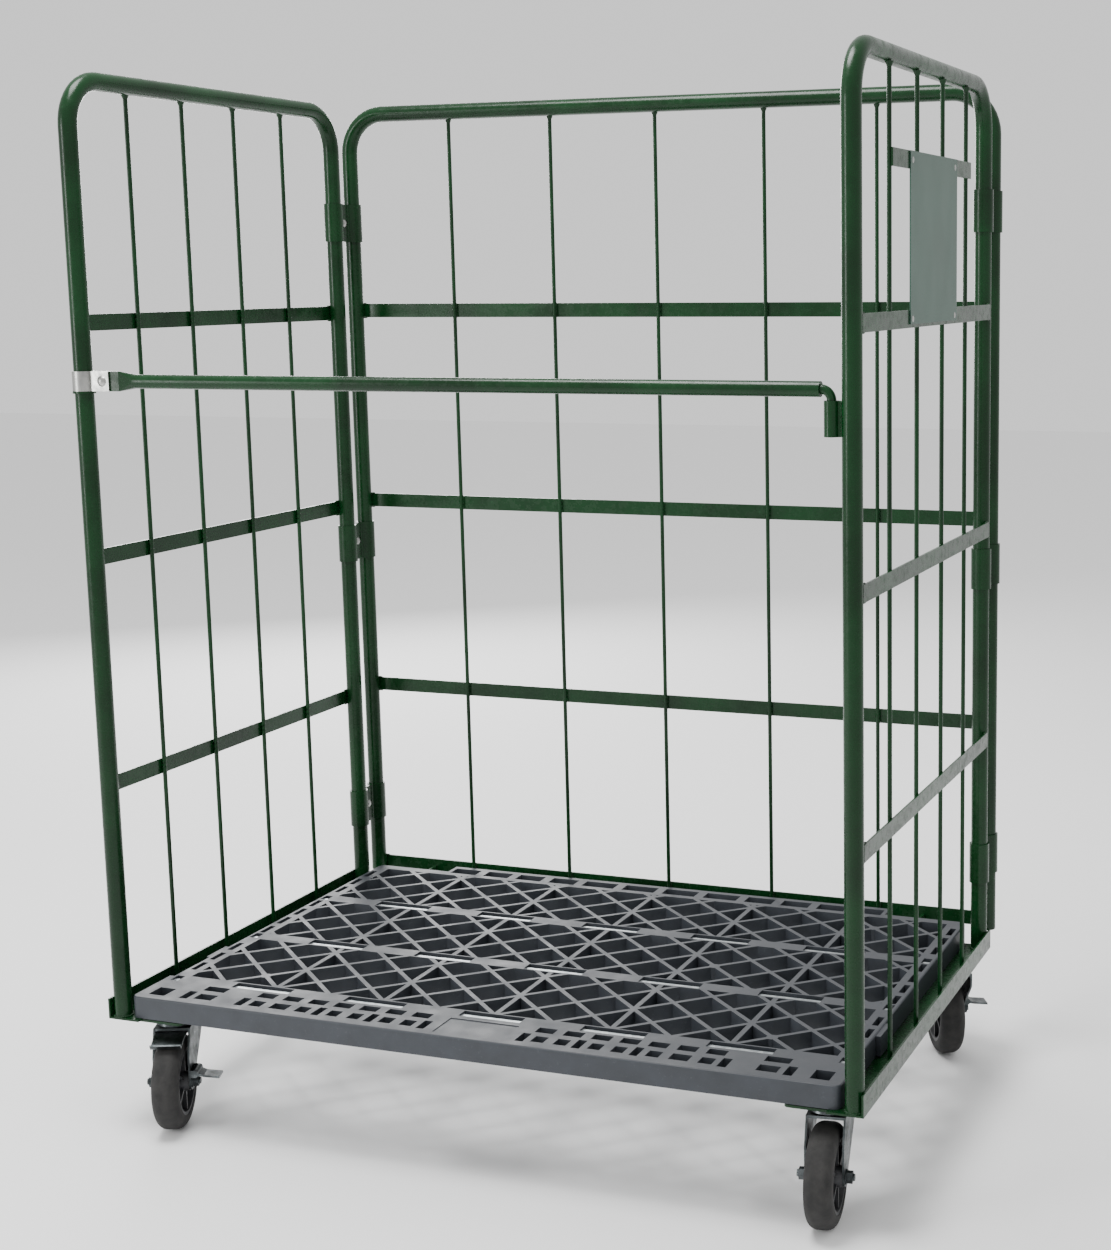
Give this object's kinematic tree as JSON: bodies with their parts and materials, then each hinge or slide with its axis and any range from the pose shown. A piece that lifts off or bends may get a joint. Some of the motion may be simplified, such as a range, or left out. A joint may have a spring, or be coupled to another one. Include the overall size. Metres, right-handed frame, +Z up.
{
  "type": "roll cage container",
  "caption": "Tall three-sided roll cage on swivel castors: bent-tube side and back panels with wires and flat rails, moulded lattice deck, lift-up front bar.",
  "frame": {"origin": "centre of the footprint, on the floor", "axes": "+X to the right seen from the open front, +Y to the back panel, +Z up"},
  "size_m": [1.2504, 0.8558, 1.65],
  "materials": {
    "green_paint": "glossy dark green powder coat",
    "zinc_plate": "bright zinc plate, slightly dull",
    "galvanised_steel": "galvanised",
    "deck_plastic": "dark grey moulded plastic, fine texture",
    "placard_plate": "satin grey-green sheet",
    "grey_tyre": "grey solid rubber",
    "black_hub": "black moulded nylon"
  },
  "bodies": {
    "cage": {"back_base_rail": "green_paint", "back_frame": "green_paint", "back_rails": "green_paint", "back_wires": "green_paint", "bar_clamp": "zinc_plate", "bar_rivet": "zinc_plate", "bar_socket": "green_paint", "clamp_collar": "green_paint", "deck_hinge_brackets": "green_paint", "deck_hinge_pins": "zinc_plate", "left_base_angle": "green_paint", "left_castor_kingpins": "zinc_plate", "left_castor_plates": "green_paint", "left_castor_races": "zinc_plate", "left_hinge_rivets": "zinc_plate", "left_hinge_straps": "green_paint", "left_side_frame": "green_paint", "left_side_rails": "green_paint", "left_side_wires": "green_paint", "placard_plate": "placard_plate", "placard_rivets": "zinc_plate", "placard_strip": "green_paint", "right_base_angle": "green_paint", "right_castor_kingpins": "zinc_plate", "right_castor_plates": "green_paint", "right_castor_races": "zinc_plate", "right_hinge_rivets": "zinc_plate", "right_hinge_straps": "green_paint", "right_side_frame": "green_paint", "right_side_rails": "green_paint", "right_side_wires": "green_paint"},
    "front_bar": {"bar_tube": "green_paint", "bar_hook": "green_paint"},
    "deck": {"deck_moulding": "deck_plastic", "deck_beams": "galvanised_steel"},
    "front_left_castor": {"front_left_castor_fork": "zinc_plate", "front_left_castor_axle": "zinc_plate", "front_left_brake_bracket": "zinc_plate"},
    "front_left_wheel": {"front_left_castor_hub": "black_hub", "front_left_castor_tyre": "grey_tyre"},
    "front_left_brake_pedal": {"front_left_brake_lever": "zinc_plate"},
    "front_left_brake_shoe": {"front_left_brake_shoe": "zinc_plate"},
    "front_right_castor": {"front_right_castor_fork": "zinc_plate", "front_right_castor_axle": "zinc_plate"},
    "front_right_wheel": {"front_right_castor_hub": "black_hub", "front_right_castor_tyre": "grey_tyre"},
    "rear_left_castor": {"rear_left_castor_fork": "zinc_plate", "rear_left_castor_axle": "zinc_plate"},
    "rear_left_wheel": {"rear_left_castor_hub": "black_hub", "rear_left_castor_tyre": "grey_tyre"},
    "rear_right_castor": {"rear_right_castor_fork": "zinc_plate", "rear_right_castor_axle": "zinc_plate", "rear_right_brake_bracket": "zinc_plate"},
    "rear_right_wheel": {"rear_right_castor_hub": "black_hub", "rear_right_castor_tyre": "grey_tyre"},
    "rear_right_brake_pedal": {"rear_right_brake_lever": "zinc_plate"},
    "rear_right_brake_shoe": {"rear_right_brake_shoe": "zinc_plate"}
  },
  "joints": [
    {"name": "front_bar_lift", "type": "hinge", "parent": "cage", "child": "front_bar", "pos_m": [-0.572, -0.37495, 1.19], "axis": [0, -1, 0], "range_deg": [0, 90]},
    {"name": "deck_lift", "type": "hinge", "parent": "cage", "child": "deck", "pos_m": [0, 0.38305, 0.2049], "axis": [-1, 0, 0], "range_deg": [0, 85]},
    {"name": "front_left_castor_swivel", "type": "hinge", "parent": "cage", "child": "front_left_castor", "pos_m": [-0.553, -0.31495, 0.17], "axis": [0, 0, 1], "continuous": true},
    {"name": "front_left_wheel_spin", "type": "hinge", "parent": "front_left_castor", "child": "front_left_wheel", "pos_m": [-0.53876, -0.35018, 0.075], "axis": [0.9272, 0.3746, 0], "continuous": true},
    {"name": "front_left_brake_pedal_press", "type": "hinge", "parent": "front_left_castor", "child": "front_left_brake_pedal", "pos_m": [-0.50539, -0.3367, 0.091], "axis": [-0.3746, 0.9272, 0], "range_deg": [0, 12]},
    {"name": "front_left_brake_shoe_press", "type": "hinge", "parent": "front_left_castor", "child": "front_left_brake_shoe", "pos_m": [-0.54401, -0.3372, 0.1538], "axis": [0.9272, 0.3746, 0], "range_deg": [0, 3.3]},
    {"name": "front_right_castor_swivel", "type": "hinge", "parent": "cage", "child": "front_right_castor", "pos_m": [0.553, -0.31495, 0.17], "axis": [0, 0, 1], "continuous": true},
    {"name": "front_right_wheel_spin", "type": "hinge", "parent": "front_right_castor", "child": "front_right_wheel", "pos_m": [0.55763, -0.35267, 0.075], "axis": [0.9925, 0.1219, 0], "continuous": true},
    {"name": "rear_left_castor_swivel", "type": "hinge", "parent": "cage", "child": "rear_left_castor", "pos_m": [-0.57, 0.29805, 0.17], "axis": [0, 0, 1], "continuous": true},
    {"name": "rear_left_wheel_spin", "type": "hinge", "parent": "rear_left_castor", "child": "rear_left_wheel", "pos_m": [-0.5621, 0.33522, 0.075], "axis": [-0.9781, 0.2079, 0], "continuous": true},
    {"name": "rear_right_castor_swivel", "type": "hinge", "parent": "cage", "child": "rear_right_castor", "pos_m": [0.57, 0.29805, 0.17], "axis": [0, 0, 1], "continuous": true},
    {"name": "rear_right_wheel_spin", "type": "hinge", "parent": "rear_right_castor", "child": "rear_right_wheel", "pos_m": [0.55158, 0.33129, 0.075], "axis": [-0.8746, -0.4848, 0], "continuous": true},
    {"name": "rear_right_brake_pedal_press", "type": "hinge", "parent": "rear_right_castor", "child": "rear_right_brake_pedal", "pos_m": [0.58306, 0.34874, 0.091], "axis": [-0.4848, 0.8746, 0], "range_deg": [0, 12]},
    {"name": "rear_right_brake_shoe_press", "type": "hinge", "parent": "rear_right_castor", "child": "rear_right_brake_shoe", "pos_m": [0.55836, 0.31904, 0.1538], "axis": [-0.8746, -0.4848, 0], "range_deg": [0, 3.3]}
  ],
  "couplings": [
    {"joint": "front_left_brake_shoe_press", "follows": "front_left_brake_pedal_press", "ratio": 0.275},
    {"joint": "rear_right_brake_shoe_press", "follows": "rear_right_brake_pedal_press", "ratio": 0.275}
  ]
}
